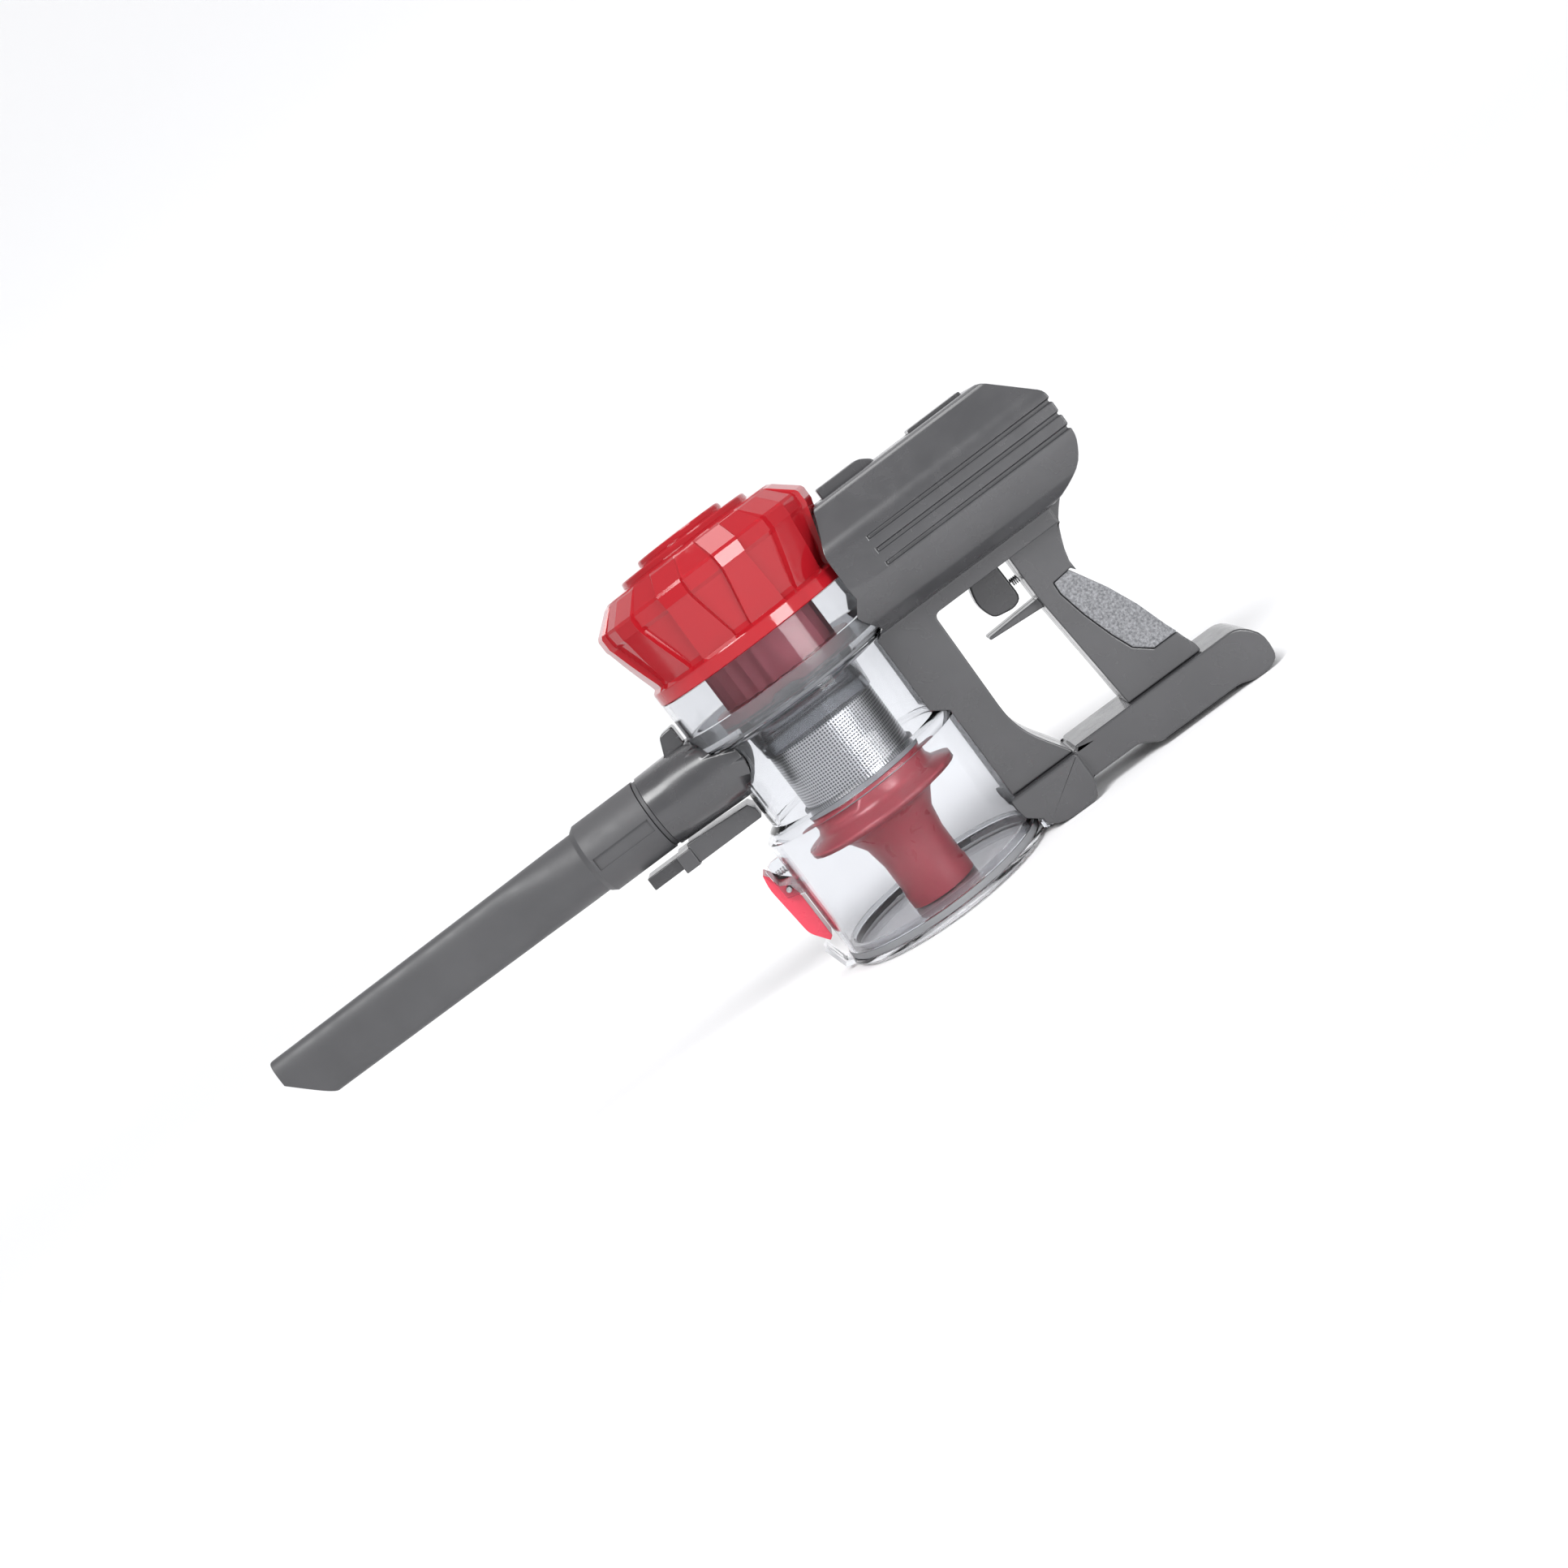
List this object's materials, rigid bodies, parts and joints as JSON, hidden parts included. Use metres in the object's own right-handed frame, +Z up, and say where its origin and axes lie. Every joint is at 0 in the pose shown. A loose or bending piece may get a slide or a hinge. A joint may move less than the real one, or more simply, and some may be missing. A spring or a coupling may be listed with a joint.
{
  "type": "handheld vacuum",
  "caption": "Handheld cyclone vacuum with a clear dust cup, red filter cap, motor housing, open handle over a battery foot, and a flat crevice tool.",
  "frame": {"origin": "centre of the dust cup's lid, on the plane that the vacuum rests on", "axes": "+Z up along the cup's axis, -X along the nozzle, +X toward the handle, Y across"},
  "size_m": [0.5236, 0.1242, 0.2262],
  "materials": {
    "dark_plastic": "glossy dark grey ABS",
    "matte_plastic": "matte dark grey polypropylene",
    "clear_plastic": "clear moulded plastic",
    "smoky_plastic": "smoky clear plastic",
    "grey_plastic": "light grey plastic",
    "red_plastic": "translucent red plastic",
    "latch_plastic": "red moulded plastic",
    "grip_rubber": "speckled grey rubber",
    "seal_rubber": "grey rubber",
    "steel": "satin steel",
    "filter_media": "pleated white filter paper",
    "board": "green circuit board"
  },
  "bodies": {
    "main": {"body_left": "dark_plastic", "body_right": "dark_plastic", "grip_pad": "grip_rubber", "body_screw_1": "steel", "body_screw_2": "steel", "body_screw_3": "steel", "body_screw_4": "steel", "button_shelf": "grey_plastic", "button_board": "board", "cup_button_spring": "steel", "speed_button_spring": "steel", "trigger_pin": "steel", "trigger_spring": "steel", "trigger_switch": "grey_plastic", "motor_can": "steel", "motor_mount": "seal_rubber", "motor_bracket": "grey_plastic", "exhaust_filter": "filter_media", "control_board": "board", "battery_case": "dark_plastic", "battery_cell_1": "steel", "battery_cell_2": "steel", "battery_board": "board", "battery_cover": "dark_plastic"},
    "impeller": {"impeller": "grey_plastic", "motor_shaft": "steel"},
    "trigger": {"trigger": "dark_plastic"},
    "cup_button": {"cup_button": "dark_plastic"},
    "speed_button": {"speed_button": "dark_plastic"},
    "cup": {"dust_cup": "clear_plastic", "hinge_bracket": "clear_plastic", "hinge_pin": "steel", "latch_pin": "steel", "latch_spring": "steel", "skirt": "red_plastic", "screen_base": "grey_plastic", "mesh_screen": "steel", "filter_housing": "smoky_plastic", "rim_seal": "seal_rubber", "rim_ring": "smoky_plastic", "clear_band": "clear_plastic", "filter_base": "red_plastic", "pleated_filter": "filter_media", "filter_core": "red_plastic", "inlet_duct": "dark_plastic", "contact_box": "dark_plastic", "contact_plug": "matte_plastic", "neck_seal": "grey_plastic"},
    "lid": {"lid": "clear_plastic", "lid_seal": "seal_rubber"},
    "latch": {"latch": "latch_plastic"},
    "filter_cap": {"filter_cap": "red_plastic"},
    "inlet_flap": {"inlet_flap": "seal_rubber"},
    "inlet_button": {"inlet_button": "dark_plastic"},
    "crevice_tool": {"crevice_tool": "matte_plastic"}
  },
  "joints": [
    {"name": "impeller_spin", "type": "hinge", "parent": "main", "child": "impeller", "pos_m": [0.088, 0, 0.161], "axis": [1, 0, 0], "continuous": true},
    {"name": "trigger_pull", "type": "hinge", "parent": "main", "child": "trigger", "pos_m": [0.11, 0, 0.1225], "axis": [0, -1, 0], "range_deg": [0, 8], "stiffness_Nm_per_rad": 0.8, "springref_deg": -5.73, "deforming": ["trigger_spring"]},
    {"name": "cup_button_press", "type": "slide", "parent": "main", "child": "cup_button", "axis": [0, 0, -1], "range_m": [0, 0.003], "stiffness_N_per_m": 600, "springref_m": -0.001, "deforming": ["cup_button_spring"]},
    {"name": "speed_button_press", "type": "slide", "parent": "main", "child": "speed_button", "axis": [0, 0, -1], "range_m": [0, 0.001], "stiffness_N_per_m": 600, "springref_m": -0.001, "deforming": ["speed_button_spring"]},
    {"name": "cup_slide", "type": "slide", "parent": "main", "child": "cup", "axis": [-1, 0, 0], "range_m": [0, 0.12]},
    {"name": "lid_hinge", "type": "hinge", "parent": "cup", "child": "lid", "pos_m": [0.0605, 0, 0.0026], "axis": [0, -1, 0], "range_deg": [0, 85]},
    {"name": "latch_rock", "type": "hinge", "parent": "cup", "child": "latch", "pos_m": [-0.062, 0, 0.052], "axis": [0, 1, 0], "range_deg": [0, 6], "stiffness_Nm_per_rad": 0.3, "springref_deg": -5.73, "deforming": ["latch_spring"]},
    {"name": "cap_lift", "type": "slide", "parent": "cup", "child": "filter_cap", "axis": [0, 0, 1], "range_m": [0, 0.09]},
    {"name": "flap_swing", "type": "hinge", "parent": "cup", "child": "inlet_flap", "pos_m": [-0.064, 0, 0.129], "axis": [0, -1, 0], "range_deg": [0, 55]},
    {"name": "inlet_button_press", "type": "slide", "parent": "cup", "child": "inlet_button", "axis": [0, 0, -1], "range_m": [0, 0.0015], "stiffness_N_per_m": 500, "springref_m": -0.001},
    {"name": "tool_slide", "type": "slide", "parent": "cup", "child": "crevice_tool", "axis": [-1, 0, 0], "range_m": [0, 0.06]}
  ]
}
